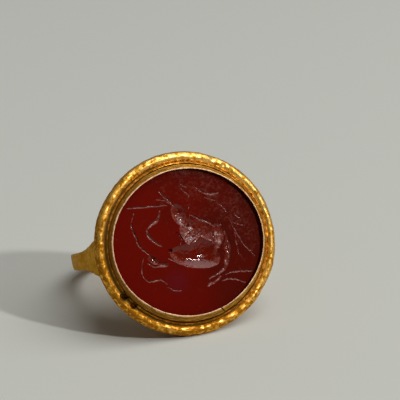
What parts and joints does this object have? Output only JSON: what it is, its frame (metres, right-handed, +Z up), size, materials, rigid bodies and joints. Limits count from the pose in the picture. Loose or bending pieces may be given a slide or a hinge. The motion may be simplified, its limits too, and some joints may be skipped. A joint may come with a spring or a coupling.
{
  "type": "intaglio finger ring",
  "caption": "Finger ring lying on its side: a hoop that widens into a near-round bezel, whose rounded rim and thin collar hold a flat engraved stone.",
  "frame": {"origin": "on the ground, under the middle of the resting ring's box", "axes": "+Z up; -Y is the way the bezel and the stone's face look, tipped up 25 degrees; +X is along the hoop, to the right of someone who looks at the stone; the finger hole runs up and back, 25 degrees off +Z"},
  "size_m": [0.022, 0.0238, 0.0189],
  "materials": {
    "gold": "worn, hand-hammered gold with soil left in the groove",
    "collar_gold": "thin burnished gold strip with a paler lip",
    "carnelian": "polished dark red carnelian, matte inside the engraved cuts"
  },
  "bodies": {
    "root": {"hoop_and_bezel": "gold", "collar": "collar_gold", "stone": "carnelian"}
  },
  "joints": []
}
